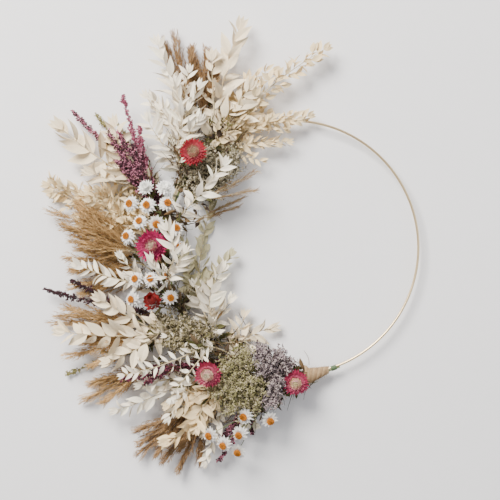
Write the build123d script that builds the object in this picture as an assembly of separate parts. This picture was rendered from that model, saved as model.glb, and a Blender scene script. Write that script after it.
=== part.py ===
"""Harvest door wreath: dried sprays, plumes and flowers bound along one side of a brass wire hoop.

The hoop stands upright in the X-Z plane with its centre at the origin. The front faces -Y and the wall is
behind, at +Y. Lengths are in millimetres. Angles are in degrees, measured round the hoop from +X to +Z.
A seat is where a stem lies against the hoop wire: 0 outward, 90 in front, 180 inward and 270 behind.
"""

from build123d import *
from math import cos, radians, sin
import os

# Hoop and stems
HOOP_RADIUS = 150.0  # to the centre of the wire
HOOP_WIRE = 3.0
STEM_RADIUS = 0.85
STEM_RING = HOOP_WIRE / 2 + 0.08 + STEM_RADIUS  # from the wire's centre to a stem's centre
STEM_TAIL = 5.0  # degrees of hoop a stem covers behind its tie
STEM_LEAD = 2.0  # degrees of hoop a stem covers in front of its tie
TWIG_RADIUS = 0.55
KNOT_RADIUS = 2.6  # the swelling where a stem forks
LEAF_THICKNESS = 1.0

# Where each posy is tied to the hoop, from the top round the left side to the bottom
TIES = {1: 137, 2: 156, 3: 175, 4: 194, 5: 213, 6: 232, 7: 253, 8: 278.5}
TIE_WIRE = 0.6
TIE_PITCH = 1.0
TIE_TURNS = 3
TIE_RADIUS = STEM_RING + STEM_RADIUS + 0.15 + TIE_WIRE / 2
STOP_RADIUS = HOOP_WIRE / 2 + 0.05 + TIE_WIRE / 2

# Twine wrap over the last posy's stems, from its wide end to its narrow end
TWINE = 1.8
TWINE_PITCH = 2.0
TWINE_WIDE = (276.4, 10.2, 3.5)  # hoop angle, radius to the cord's centre, offset outward
TWINE_NARROW = (287.0, 3.5, 0.9)

# Green tape round the hoop and the two stems that run on past the twine
LONG_TAIL = 13.5
TAPE_ANGLES = (288.1, 290.6)
TAPE_BORE = 2.55
TAPE_THICKNESS = 0.45
TAPE_OFFSET = 0.95

# Wire hanging loop, an upside-down U whose two eyes turn on the hoop
LOOP_ANGLE = 119.7
LOOP_WIRE = 1.2
LOOP_EYE_RADIUS = HOOP_WIRE / 2 + 0.08 + LOOP_WIRE / 2
LOOP_HALF_WIDTH = 5.0
LOOP_LENGTH = 13.0  # from the hoop to the middle of the bend
LOOP_TILT = 28.0  # leaning back from the hoop's plane towards the wall

FRONT = Vector(0, -1, 0)

# Leafy sprays. Tie, seat, where the leaves start, tip, width, sideways bow, leaf count, leaf shape
LEAFY = {
    "ruscus_top_long": (1, 90, (-70, -14, 148), (38, -12, 232), 36, 5, 17, 0.42),
    "ruscus_top_tall": (1, 45, (-88, -8, 150), (-62, -8, 256), 42, 4, 13, 0.45),
    "ruscus_top_hoop": (1, 135, (-80, -10, 127), (6, -9, 150), 24, 6, 15, 0.42),
    "ruscus_top_inner": (1, 180, (-72, -8, 116), (-5, -7, 124), 24, 4, 11, 0.36),
    "ruscus_top_back": (1, 0, (-64, -3, 155), (-35, -2, 212), 40, 3, 9, 0.5),
    "ruscus_crown_white": (2, 45, (-133, -12, 150), (-158, -12, 238), 34, -4, 13, 0.45),
    "ruscus_crown_star": (2, 90, (-140, -26, 118), (-122, -30, 176), 52, 2, 9, 0.4),
    "ruscus_shoulder_large": (3, 0, (-190, -7, 82), (-270, -8, 140), 32, 3, 9, 0.5),
    "ruscus_left_curly": (4, 315, (-192, 6, 40), (-288, 7, 62), 44, -4, 13, 0.36),
    "ruscus_left_silver": (5, 90, (-180, -21, -42), (-250, -24, -20), 24, 3, 11, 0.4),
    "ruscus_left_broad": (6, 90, (-165, -24, -103), (-265, -26, -98), 32, 3, 11, 0.5),
    "ruscus_front_white": (3, 180, (-128, -50, 42), (-80, -56, 95), 26, -2, 11, 0.42),
    "ruscus_front_star": (5, 180, (-146, -61, -28), (-132, -66, 10), 40, 2, 7, 0.34),
    "ruscus_inner_sage": (5, 225, (-112, 7, -48), (-95, 8, 50), 28, 3, 11, 0.42),
    "ruscus_inner_white": (6, 180, (-92, -9, -92), (-94, -11, -28), 34, 2, 9, 0.42),
    "ruscus_inner_short": (6, 225, (-66, 3, -112), (-28, 1, -90), 22, -2, 7, 0.42),
    "ruscus_low_drooping": (7, 180, (-106, -44, -115), (-195, -42, -147), 16, 5, 13, 0.32),
    "ruscus_low_white": (7, 45, (-135, -11, -160), (-205, -13, -190), 34, 3, 11, 0.45),
    "ruscus_bottom_cream": (7, 0, (-98, -18, -170), (-135, -20, -232), 36, 3, 11, 0.45),
    "ruscus_bottom_white": (8, 292.5, (-84, -8, -190), (-102, -9, -252), 26, 2, 9, 0.45),
    "heather_shoulder_pink": (3, 45, (-168, -14, 88), (-198, -16, 178), 24, 3, 15, 0.2),
    "heather_shoulder_long": (3, 315, (-178, 0, 88), (-260, 0, 162), 26, 3, 17, 0.2),
    "heather_shoulder_dark": (3, 90, (-170, -20, 70), (-215, -23, 135), 30, 2, 15, 0.2),
    "heather_left_dark": (6, 0, (-190, -3, -72), (-291, -3, -50), 22, 2, 17, 0.2),
    "heather_low_dark": (7, 135, (-130, -23, -138), (-200, -26, -154), 26, 2, 15, 0.2),
    "heather_bottom_pink": (8, 337.5, (-60, -3, -205), (-88, -3, -253), 20, 2, 13, 0.2),
    "sprig_shoulder_olive": (3, 270, (-180, 7, 95), (-231, 8, 158), 18, 2, 11, 0.25),
    "sprig_low_olive": (6, 315, (-189, 7, -117), (-266, 8, -149), 18, 3, 11, 0.25),
    "twig_inner_dark": (8, 202.5, (-25, 6, -133), (-62, 8, -78), 10, 2, 9, 0.2),
}

# Reed plumes. Tie, seat, where the plume starts, tip, greatest radius
PLUMES = {
    "plume_crown_tall": (2, 0, (-122, 2, 160), (-138, 2, 256), 8),
    "plume_crown_short": (1, 315, (-108, 3, 160), (-98, 4, 236), 6),
    "plume_inner_high": (2, 180, (-105, -28, 55), (-38, -30, 90), 4),
    "plume_inner_low": (3, 225, (-108, 0, 35), (-58, 0, 60), 4),
    "plume_left_1": (4, 0, (-182, -6, 5), (-288, -6, 47), 7),
    "plume_left_2": (4, 45, (-184, -18, -6), (-272, -18, 28), 6),
    "plume_left_3": (5, 0, (-184, -4, -18), (-270, -4, -10), 8),
    "plume_left_4": (5, 315, (-180, 1, -34), (-265, 1, -45), 7),
    "plume_left_5": (6, 270, (-182, 3, -88), (-288, 3, -90), 7),
    "plume_left_6": (6, 45, (-178, -10, -106), (-268, -10, -130), 8),
    "plume_low_wide": (7, 270, (-168, 1, -142), (-252, 1, -185), 9),
    "plume_bottom_left": (7, 315, (-120, 3, -190), (-185, 3, -245), 8),
    "plume_bottom": (8, 247.5, (-104, 7, -194), (-134, -1, -269), 8),
}

# Strawflowers. Tie, seat, back of the head, direction it faces, radius, height
STRAWFLOWERS = {
    "strawflower_red": (2, 135, (-115, -44, 110), (0, -1, 0.1), 16.5, 14),
    "strawflower_magenta": (4, 90, (-162, -42, 1), (-0.1, -1, 0.1), 20, 16),
    "strawflower_coral": (5, 45, (-162, -38, -64), (-0.1, -1, 0.3), 10, 24),
    "strawflower_pink": (7, 90, (-97, -45, -145), (-0.15, -1, -0.2), 17, 15),
    "strawflower_cream": (8, 112.5, (4, -22, -157), (0, -1, -0.15), 16, 14),
}

# Branched sprigs. Tie, seat, where the stem forks, flower radius, flower height, flower places
EVERLASTINGS = {
    "everlasting_upper": (3, 135, (-154, -25, 40), 8.5, 7, (
        (-169, -36, 68), (-149, -38, 68), (-186, -32, 50), (-167, -40, 48), (-146, -38, 50), (-157, -38, 29),
    )),
    "everlasting_left": (4, 135, (-152, -22, -4), 8, 7, (
        (-176, -32, 28), (-190, -28, 12), (-136, -36, 20), (-134, -32, 0),
    )),
    "everlasting_middle": (5, 135, (-145, -19, -56), 8, 7, (
        (-180, -30, -38), (-163, -36, -38), (-146, -34, -36), (-184, -28, -60), (-142, -32, -58),
    )),
    "everlasting_bottom": (8, 22.5, (-35, -18, -188), 8.5, 7, (
        (-54, -30, -196), (-27, -30, -200), (-78, -30, -228), (-60, -28, -216), (-62, -26, -236), (-94, -26, -218),
    )),
}

# Sea lavender: the same, with a rounded tuft of tiny flowers at the end of each fork
SEA_LAVENDER = {
    "sea_lavender_upper": (2, 225, (-112, -2, 80), 8, (
        (-98, -16, 68), (-82, -18, 84), (-96, -20, 102), (-70, -16, 106),
    )),
    "sea_lavender_left": (6, 135, (-108, -16, -101), 8, (
        (-150, -22, -88), (-140, -30, -112), (-120, -32, -96), (-112, -28, -118),
    )),
    "sea_lavender_bottom": (8, 67.5, (-48, -20, -158), 9, (
        (-70, -32, -186), (-84, -34, -166), (-62, -38, -160), (-76, -34, -138), (-56, -32, -124), (-44, -30, -182),
    )),
    "sea_lavender_lilac": (8, 157.5, (-10, -14, -140), 8, (
        (-34, -32, -140), (-22, -30, -160), (-14, -26, -124), (-24, -28, -180), (-38, -34, -120),
    )),
}


def hoop_point(angle, seat=0.0, ring=0.0):
    """A point beside the hoop's centre line, and the direction the hoop runs in there."""
    turn = radians(angle)
    outward = Vector(cos(turn), 0, sin(turn))
    along = Vector(-sin(turn), 0, cos(turn))
    lean = outward * cos(radians(seat)) + FRONT * sin(radians(seat))
    return outward * HOOP_RADIUS + lean * ring, along


def stem(tie, seat, end, heading):
    """A stem that lies along the hoop under its tie, then curves away to an end point and heading."""
    angle = TIES[tie]
    long_tail = tie == 8 and seat in (22.5, 337.5)
    tail = LONG_TAIL if long_tail else STEM_TAIL
    if tie == 8 and not long_tail:
        tail = STEM_TAIL - 1
    first, _ = hoop_point(angle + tail, seat, STEM_RING)
    middle, _ = hoop_point(angle + (tail - STEM_LEAD) / 2, seat, STEM_RING)
    last, along = hoop_point(angle - STEM_LEAD, seat, STEM_RING)
    reach = (end - last).length
    heading = heading.normalized()
    on_hoop = ThreePointArc(first, middle, last)
    away = Bezier(last, last - along * reach * 0.35, end - heading * reach * 0.3, end)
    path = Wire([on_hoop.edge(), away.edge()])
    profile = Plane(origin=first, z_dir=on_hoop % 0) * Circle(STEM_RADIUS)
    return sweep(profile, path=path)


def leaf(length, width, place, angle):
    """One pointed leaf, lying flat and growing from a place at an angle."""
    tip = Vector(length, 0)
    upper = ThreePointArc((0, 0), (length * 0.45, width / 2), tip)
    lower = ThreePointArc(tip, (length * 0.45, -width / 2), (0, 0))
    return Location(place, angle) * make_face([upper, lower])


def leafy_spray(tie, seat, start, tip, width, bow, count, shape):
    """A flat spray of leaves on alternate sides of a bowed rib, on its stem."""
    start, tip = Vector(start), Vector(tip)
    length = (tip - start).length
    heading = (tip - start).normalized()
    face = (FRONT - heading * FRONT.dot(heading)).normalized()
    rib = ThreePointArc((0, 0), (length / 2, bow), (length * 0.9, 0))
    upper = ThreePointArc((0, 0.8), (length / 2, bow + 0.6), (length * 0.92, 0.3))
    lower = ThreePointArc((length * 0.92, -0.3), (length / 2, bow - 0.6), (0, -0.8))
    leaves = [make_face([upper, Line(upper @ 1, lower @ 0), lower, Line(lower @ 1, upper @ 0)])]
    for i in range(count):
        along = i / count
        spread = width / 2 * (0.55 + 0.75 * along - 0.85 * along**3)
        side = 1 if i % 2 else -1
        lean = side * (58 - 26 * along)
        reach = spread / sin(radians(abs(lean)))
        tangent = rib % along
        leaves.append(leaf(reach, reach * shape, rib @ along, tangent.get_angle(Vector(1, 0)) *
                           (1 if tangent.Y > 0 else -1) + lean))
    leaves.append(leaf(length * 0.14, length * 0.14 * shape, rib @ 0.97, 0))
    outline = Sketch() + leaves
    blade = extrude(outline, LEAF_THICKNESS / 2, both=True)
    blade = Plane(origin=start, x_dir=heading, z_dir=face) * blade
    return stem(tie, seat, start + heading * 4, heading) + blade


def plume(tie, seat, start, tip, radius):
    """A feathery seed head, drawn as a long spindle on its stem."""
    start, tip = Vector(start), Vector(tip)
    length = (tip - start).length
    heading = (tip - start).normalized()
    base = (0, STEM_RADIUS + 0.5)
    point = (length, 0.3)
    side = Bezier(base, (length * 0.25, radius * 4 / 3), (length * 0.65, radius * 4 / 3), point)
    ends = Polyline(point, (length, 0), (0, 0), base)
    spindle = revolve(make_face([side, ends]), Axis.X)
    spindle = Plane(origin=start, x_dir=heading, z_dir=FRONT.cross(heading)) * spindle
    return stem(tie, seat, start + heading * 5, heading) + spindle


def flower_head(back, facing, radius, height):
    """A domed head of papery petals, given by the middle of its back and the way it faces."""
    outline = Polyline(
        (0, 0),
        (0, radius * 0.3),
        (height * 0.2, radius * 0.75),
        (height * 0.45, radius),
        (height * 0.75, radius * 0.85),
        (height, radius * 0.4),
        (height, 0),
        close=True,
    )
    head = revolve(make_face(outline), Axis.X)
    facing = Vector(facing).normalized()
    return Plane(origin=back, x_dir=facing, z_dir=facing.cross(Vector(1, 0, 0))) * head


def strawflower(tie, seat, back, facing, radius, height):
    back, facing = Vector(back), Vector(facing).normalized()
    return stem(tie, seat, back + facing * 2, facing) + flower_head(back, facing, radius, height)


def fork(crotch, end):
    """A thin straight twig from just inside the knot at a crotch to an end point."""
    heading = (end - crotch).normalized()
    start = crotch + heading * KNOT_RADIUS * 0.8
    length = (end - start).length
    twig = Cylinder(TWIG_RADIUS, length, align=(Align.CENTER, Align.CENTER, Align.MIN))
    return Plane(origin=start, z_dir=heading) * twig


def branched(tie, seat, crotch, heads):
    """A stem that forks into one twig for each head. Heads are (point the twig ends at, solid)."""
    crotch = Vector(crotch)
    middle = sum((end for end, _ in heads), Vector()) / len(heads)
    sprig = stem(tie, seat, crotch, middle - crotch)
    sprig += Location(crotch) * Sphere(KNOT_RADIUS)
    for end, head in heads:
        sprig += fork(crotch, end)
        sprig += head
    return sprig


def everlasting(tie, seat, crotch, radius, height, places):
    heads = []
    for place in places:
        back = Vector(place)
        facing = ((back - Vector(crotch)).normalized() + FRONT * 1.3).normalized()
        heads.append((back + facing * 1.5, flower_head(back, facing, radius, height)))
    return branched(tie, seat, crotch, heads)


def sea_lavender(tie, seat, crotch, radius, places):
    heads = [(Vector(place), Location(place) * Sphere(radius)) for place in places]
    return branched(tie, seat, crotch, heads)


def coil(angle, radius):
    """A few turns of tying wire round the hoop."""
    centre, along = hoop_point(angle)
    height = TIE_PITCH * TIE_TURNS
    path = Helix(TIE_PITCH, height, radius, center=centre - along * height / 2, direction=along)
    return sweep(Plane(origin=path @ 0, z_dir=path % 0) * Circle(TIE_WIRE / 2), path=path, is_frenet=True)


def tying_wire():
    """The coil over each tie, and the bare one that keeps the hanging loop in its place."""
    coils = [coil(angle, TIE_RADIUS) for angle in TIES.values()]
    coils.append(coil(LOOP_ANGLE, STOP_RADIUS))
    return Compound(children=coils)


def twine_wrap():
    """Twine wound into a cone over the last posy's stems."""
    wide, _ = hoop_point(TWINE_WIDE[0], 0, TWINE_WIDE[2])
    narrow, _ = hoop_point(TWINE_NARROW[0], 0, TWINE_NARROW[2])
    axis = narrow - wide
    taper = Vector(axis.length, TWINE_WIDE[1] - TWINE_NARROW[1]).get_angle(Vector(1, 0))
    path = Helix(TWINE_PITCH, axis.length, TWINE_WIDE[1], center=wide, direction=axis, cone_angle=-taper)
    return sweep(Plane(origin=path @ 0, z_dir=path % 0) * Circle(TWINE / 2), path=path, is_frenet=True)


def green_tape():
    """A short sleeve of tape following the hoop."""
    first, along = hoop_point(TAPE_ANGLES[0], 0, TAPE_OFFSET)
    middle, _ = hoop_point(sum(TAPE_ANGLES) / 2, 0, TAPE_OFFSET)
    last, _ = hoop_point(TAPE_ANGLES[1], 0, TAPE_OFFSET)
    ring = Circle(TAPE_BORE + TAPE_THICKNESS) - Circle(TAPE_BORE)
    return sweep(Plane(origin=first, z_dir=along) * ring, path=ThreePointArc(first, middle, last))


def hanging_loop():
    """A wire U with an eye round the hoop at the foot of each leg."""
    centre, along = hoop_point(LOOP_ANGLE)
    outward = centre.normalized()
    lean = outward * cos(radians(LOOP_TILT)) - FRONT * sin(radians(LOOP_TILT))
    feet = [centre + along * side * LOOP_HALF_WIDTH + lean * LOOP_EYE_RADIUS for side in (-1, 1)]
    heads = [centre + along * side * LOOP_HALF_WIDTH + lean * LOOP_LENGTH for side in (-1, 1)]
    bend = ThreePointArc(heads[0], centre + lean * (LOOP_LENGTH + LOOP_HALF_WIDTH), heads[1])
    path = Wire([Edge.make_line(feet[0], heads[0]), bend.edge(), Edge.make_line(heads[1], feet[1])])
    loop = sweep(Plane(origin=feet[0], z_dir=lean) * Circle(LOOP_WIRE / 2), path=path)
    for side in (-1, 1):
        place = Plane(origin=centre + along * side * LOOP_HALF_WIDTH, z_dir=along)
        loop += place * Torus(LOOP_EYE_RADIUS, LOOP_WIRE / 2)
    return loop


def main():
    parts = {
        "hoop": Rotation(90, 0, 0) * Torus(HOOP_RADIUS, HOOP_WIRE / 2),
        "tying_wire": tying_wire(),
        "twine_wrap": twine_wrap(),
        "green_tape": green_tape(),
        "hanging_loop": hanging_loop(),
    }
    kinds = (
        (leafy_spray, LEAFY),
        (plume, PLUMES),
        (strawflower, STRAWFLOWERS),
        (everlasting, EVERLASTINGS),
        (sea_lavender, SEA_LAVENDER),
    )
    for build, table in kinds:
        for name, values in table.items():
            parts[name] = build(*values)
    os.makedirs("parts", exist_ok=True)
    for name, part in parts.items():
        export_step(part, f"parts/{name}.step")


main()
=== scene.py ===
"""Dried-flower look of the harvest door wreath, grown over the CAD part's own stems, blades and heads."""
import math
import random

import bpy
import numpy as np
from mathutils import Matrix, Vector


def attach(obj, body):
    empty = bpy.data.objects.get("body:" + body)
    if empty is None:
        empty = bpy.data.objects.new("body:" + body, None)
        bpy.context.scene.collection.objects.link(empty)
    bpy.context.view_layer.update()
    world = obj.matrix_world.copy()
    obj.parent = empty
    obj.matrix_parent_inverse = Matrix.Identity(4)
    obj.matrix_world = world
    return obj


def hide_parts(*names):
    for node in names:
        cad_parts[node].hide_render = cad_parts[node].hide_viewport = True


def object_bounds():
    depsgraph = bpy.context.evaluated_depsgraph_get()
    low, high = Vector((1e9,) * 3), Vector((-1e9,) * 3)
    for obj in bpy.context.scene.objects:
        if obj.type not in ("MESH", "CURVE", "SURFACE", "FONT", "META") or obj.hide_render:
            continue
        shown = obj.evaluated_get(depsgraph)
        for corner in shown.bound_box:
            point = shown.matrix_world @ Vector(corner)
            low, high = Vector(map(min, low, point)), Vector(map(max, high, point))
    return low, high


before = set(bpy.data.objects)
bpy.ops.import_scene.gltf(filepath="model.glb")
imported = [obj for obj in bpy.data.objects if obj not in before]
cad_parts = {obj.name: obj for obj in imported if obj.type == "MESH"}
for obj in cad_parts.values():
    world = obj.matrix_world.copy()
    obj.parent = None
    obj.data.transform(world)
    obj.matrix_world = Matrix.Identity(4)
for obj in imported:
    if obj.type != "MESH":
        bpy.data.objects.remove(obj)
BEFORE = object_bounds()
MM = 0.001
HOOP = 150.0  # radius of the hoop, to the centre of its wire
FRONT = np.array([0.0, -1.0, 0.0])

# Depths behind the hoop's plane, and in front of it
WALL = 13.0
BACK_KNEE = 6.5  # plants that reach further back than this are drawn in
BACK_ROOM = 5.5  # and go no further than this past it
FOREMOST = -BEFORE[0][1] / MM  # the front of the CAD part, past which plants are drawn in
FRONT_ROOM = 9.0

# The shape of a leaf
WIDEST = 0.8  # below 1, its widest place is nearer its base
POINTED = 1.15  # above 1, its ends are more pointed

# How the CAD nodes are shaped
STEM_REACH = 4.2  # a stem tied to the hoop is within this of the wire's centre
TAIL = 3  # degrees of hoop that every stem covers at its cut end
LONGEST_SEAT = 18  # degrees of hoop that no stem passes
KNOT = 2.6  # radius of the ball where a stem forks
TUFT_RADII = {"sea_lavender_bottom": 9}  # the other sea lavenders have balls of radius 8
FLAT_SHARE = 0.4  # radius of a head's flat front, as a share of the head's


# ---------------------------------------------------------------- small vector helpers

def unit(v):
    v = np.asarray(v, float)
    n = np.linalg.norm(v)
    return v / n if n > 1e-12 else np.array([1.0, 0.0, 0.0])


def turn(v, axis, angle):
    """v turned about axis by an angle in degrees."""
    a = math.radians(angle)
    axis = unit(axis)
    return v * math.cos(a) + np.cross(axis, v) * math.sin(a) + axis * np.dot(axis, v) * (1 - math.cos(a))


def square_to(v, along):
    """The part of v square to along, as a unit vector."""
    along = unit(along)
    rest = np.asarray(v, float) - along * np.dot(v, along)
    if np.linalg.norm(rest) < 1e-6:
        rest = np.cross(along, [0.3, 0.5, 0.8])
    return unit(rest)


def resample(points, count):
    """The same line through count points spaced evenly along it."""
    points = np.asarray(points, float)
    steps = np.linalg.norm(np.diff(points, axis=0), axis=1)
    at = np.concatenate([[0], np.cumsum(steps)])
    want = np.linspace(0, at[-1], count)
    return np.stack([np.interp(want, at, points[:, i]) for i in range(3)], 1)


def curve(start, heading, length, bend, droop, count):
    """A line from start that bends towards a direction as it goes."""
    points = [np.asarray(start, float)]
    heading = unit(heading)
    step = length / (count - 1)
    for _ in range(count - 1):
        points.append(points[-1] + heading * step)
        heading = unit(heading + np.asarray(bend) * (droop / (count - 1)))
    return np.array(points)


def eased(values, knee, room):
    """Values past the knee are drawn in smoothly, so that none goes further than the room past it."""
    past = np.maximum(values - knee, 0)
    return np.minimum(values, knee) + room * np.tanh(past / room)


def line_length(line):
    return np.linalg.norm(np.diff(line, axis=0), axis=1).sum()


def alternate(k):
    """-1 and 1 in turn."""
    return 1 if k % 2 else -1


# ---------------------------------------------------------------- mesh building, in millimetres

class Shape:
    """Collects closed tubes, leaves and beads, each with a tint, into one mesh. Kind is a face's material."""

    def __init__(self):
        self.points, self.faces, self.tints, self.kinds = [], [], [], []
        self.count = 0

    def add(self, points, faces, tint, kind=0):
        """One closed form, with one tint for all of it or one for each point."""
        self.points.append(np.asarray(points, float))
        self.faces += [tuple(i + self.count for i in f) for f in faces]
        self.kinds += [kind] * len(faces)
        tint = np.asarray(tint, float)
        if tint.ndim == 1:
            tint = np.repeat(tint[None], len(points), 0)
        self.tints.append(tint)
        self.count += len(points)

    def tube(self, line, radii, tint, sides=6, kind=0):
        """A closed tube along a line, with a point at each end. Its radii are spread evenly along it."""
        line = np.asarray(line, float)
        n = len(line)
        radii = np.interp(np.linspace(0, 1, n), np.linspace(0, 1, len(radii)), radii)
        ahead = np.gradient(line, axis=0)
        side = square_to([0.31, 0.87, 0.41], ahead[0])
        rings = []
        for i in range(n):
            side = square_to(side, ahead[i])
            other = np.cross(unit(ahead[i]), side)
            for k in range(sides):
                a = 2 * math.pi * k / sides
                rings.append(line[i] + (side * math.cos(a) + other * math.sin(a)) * radii[i])
        points = rings + [line[0], line[-1]]
        faces = []
        for i in range(n - 1):
            for k in range(sides):
                j = (k + 1) % sides
                faces.append((i * sides + k, i * sides + j, (i + 1) * sides + j, (i + 1) * sides + k))
        for k in range(sides):
            j = (k + 1) % sides
            faces.append((n * sides, j, k))
            faces.append((n * sides + 1, (n - 1) * sides + k, (n - 1) * sides + j))
        self.add(points, faces, tint, kind)

    def blade(self, base, heading, face, length, width, tint,
              curl=20, fold=18, twist=0, thick=0.3, stations=6):
        """One leaf or petal: a thin closed blade, folded along its rib, curling back along its length."""
        heading = unit(heading)
        face = square_to(face, heading)
        side = np.cross(heading, face)
        tint = np.asarray(tint, float)
        at = np.array(base, float)
        step = length / (stations + 1)
        # the base is painted darker, as painted shade where the blade meets its stem, and the tip a little
        # darker
        points, tints = [at], [tint * 0.9]
        for i in range(1, stations + 1):
            at = at + heading * step
            t = i / (stations + 1)
            half = width / 2 * math.sin(math.pi * t ** WIDEST) ** POINTED
            drop = half * math.tan(math.radians(fold))
            edge = face * drop
            points += [at - side * half + edge, at - face * thick / 2]
            points += [at + side * half + edge, at + face * thick / 2]
            rib_wobble = 1.0 + 0.03 * math.sin(i * 2.1)
            # the edges are painted lighter and the rib darker, most on the back: a painted highlight on the
            # raised edges and painted shade in the fold
            tints += [tint * 1.04, tint * 0.92 * rib_wobble, tint * 1.04, tint * 0.97 * rib_wobble]
            bent = turn(heading, side, -curl / stations)
            face = square_to(turn(face, side, -curl / stations), bent)
            heading = bent
            side = turn(side, heading, twist / stations)
            face = np.cross(side, heading)
        points.append(at + heading * step)
        tints.append(tint * 0.94)
        last = len(points) - 1
        faces = []
        for k in range(4):
            j = (k + 1) % 4
            faces.append((0, 1 + j, 1 + k))
            faces.append((last, last - 4 + k, last - 4 + j))
            for a in range(1, last - 4, 4):
                faces.append((a + k, a + j, a + 4 + j, a + 4 + k))
        self.add(points, faces, np.clip(tints, 0, 1))

    def bead(self, at, heading, length, radius, tint, sides=4, kind=0):
        """A tiny closed bud."""
        heading = unit(heading)
        side = square_to([0.4, 0.2, 0.9], heading)
        other = np.cross(heading, side)
        at = np.asarray(at, float)
        points = [at]
        for k in range(sides):
            a = 2 * math.pi * k / sides
            points.append(at + heading * length * 0.55 + (side * math.cos(a) + other * math.sin(a)) * radius)
        points.append(at + heading * length)
        faces = []
        for k in range(sides):
            j = (k + 1) % sides
            faces.append((0, 1 + j, 1 + k))
            faces.append((sides + 1, 1 + k, 1 + j))
        self.add(points, faces, tint, kind)

    def make(self, name, materials):
        """The mesh as an object, kept off the wall and close to the CAD part's front."""
        points = np.concatenate(self.points)
        points[:, 1] = eased(points[:, 1], BACK_KNEE, BACK_ROOM)
        points[:, 1] = -eased(-points[:, 1], FOREMOST, FRONT_ROOM)
        points *= MM
        mesh = bpy.data.meshes.new(name)
        mesh.from_pydata(points.tolist(), [], self.faces)
        for m in materials:
            mesh.materials.append(m)
        mesh.polygons.foreach_set("material_index", self.kinds)
        mesh.polygons.foreach_set("use_smooth", [False] * len(mesh.polygons))
        tint = mesh.color_attributes.new("tint", "FLOAT_COLOR", "POINT")
        values = np.ones((len(points), 4), np.float32)
        values[:, :3] = np.concatenate(self.tints)
        tint.data.foreach_set("color", values.ravel())
        mesh.update()
        piece = bpy.data.objects.new(name, mesh)
        bpy.context.scene.collection.objects.link(piece)
        return piece


# ---------------------------------------------------------------- reading the CAD nodes, in millimetres

def triangles(node):
    """A CAD node's triangles, their middles, unit normals and areas."""
    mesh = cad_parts[node].data
    mesh.calc_loop_triangles()
    co = np.empty(len(mesh.vertices) * 3)
    mesh.vertices.foreach_get("co", co)
    index = np.empty(len(mesh.loop_triangles) * 3, int)
    mesh.loop_triangles.foreach_get("vertices", index)
    tri = (co.reshape(-1, 3) / MM)[index.reshape(-1, 3)]
    cross = np.cross(tri[:, 1] - tri[:, 0], tri[:, 2] - tri[:, 0])
    area = np.linalg.norm(cross, axis=1) / 2
    keep = area > 1e-7
    tri, cross, area = tri[keep], cross[keep], area[keep]
    return tri, tri.mean(1), cross / (2 * area[:, None]), area


def gathered(keys, weights):
    """Which group each row of keys falls in, and each group's total weight."""
    _, group = np.unique(keys, axis=0, return_inverse=True)
    group = group.ravel()
    return group, np.bincount(group, weights=weights)


def by_the_hoop(middle):
    """How far outward each triangle is from the hoop wire's centre, and which ones are close beside it."""
    radial = np.hypot(middle[:, 0], middle[:, 2]) - HOOP
    return radial, np.hypot(radial, middle[:, 1]) < STEM_REACH


def flats(middle, normal, area):
    """The flat patches of a node: (middle, normal, area)."""
    keys = np.column_stack([np.round(normal * 150), np.round((middle * normal).sum(1) * 5)])
    group, total = gathered(keys, area)
    found = []
    for g in np.nonzero(total > 2)[0]:
        pick = group == g
        weight = area[pick][:, None]
        centre = (middle[pick] * weight).sum(0) / weight.sum()
        found.append((centre, unit((normal[pick] * weight).sum(0)), total[g]))
    return found


def balls(node, radius):
    """Centres of the spheres of one radius in a node."""
    _, middle, normal, area = triangles(node)
    whole = 4 * math.pi * radius ** 2
    inward = middle - normal * radius * 0.99
    group, total = gathered(np.round(inward / 1.2), area)
    found = []
    for g in np.argsort(-total):
        if total[g] < 0.08 * whole:
            break
        centre = np.average(inward[group == g], axis=0, weights=area[group == g])
        near = np.linalg.norm(inward - centre, axis=1) < 1.0
        if area[near].sum() > 0.4 * whole:
            if all(np.linalg.norm(centre - f) > radius for f in found):
                found.append(np.average(inward[near], axis=0, weights=area[near]))
    return found


def hoop_point(angle, seat, ring):
    """A point beside the hoop wire's centre line, at an angle round the hoop in degrees."""
    a = math.radians(angle)
    outward = np.array([math.cos(a), 0, math.sin(a)])
    lean = outward * math.cos(seat) + FRONT * math.sin(seat)
    return outward * HOOP + lean * ring


def bezier(a, b, c, d, count):
    """Points along a curve from a to d that leaves towards b and arrives from c."""
    t = np.linspace(0, 1, count)[:, None]
    return a * (1 - t) ** 3 + 3 * b * t * (1 - t) ** 2 + 3 * c * t * t * (1 - t) + d * t ** 3


def stem_to(middle, end, heading):
    """The line of a node's stem: along its seat on the hoop, then away to an end point."""
    radial, close = by_the_hoop(middle)
    angle = np.degrees(np.arctan2(middle[close, 2], middle[close, 0])) % 360
    radial, depth = radial[close], middle[close, 1]
    first = angle.max()
    tail = angle > first - TAIL
    across, back = radial[tail].mean(), depth[tail].mean()
    seat, ring = math.atan2(-back, across), math.hypot(across, back)
    last = first - TAIL
    while last > first - LONGEST_SEAT:
        here = np.abs(angle - last + 0.5) < 0.5
        if not here.any() or math.hypot(radial[here].mean() - across, depth[here].mean() - back) > 0.5:
            break
        last -= 1
    on_hoop = np.array([hoop_point(a, seat, ring) for a in np.linspace(first, last, 9)])
    start = on_hoop[-1]
    along = unit(on_hoop[-1] - on_hoop[-2])
    reach = np.linalg.norm(end - start)
    away = bezier(start, start + along * reach * 0.35, end - heading * reach * 0.3, end, 24)
    return np.concatenate([on_hoop, away[1:]])


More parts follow.
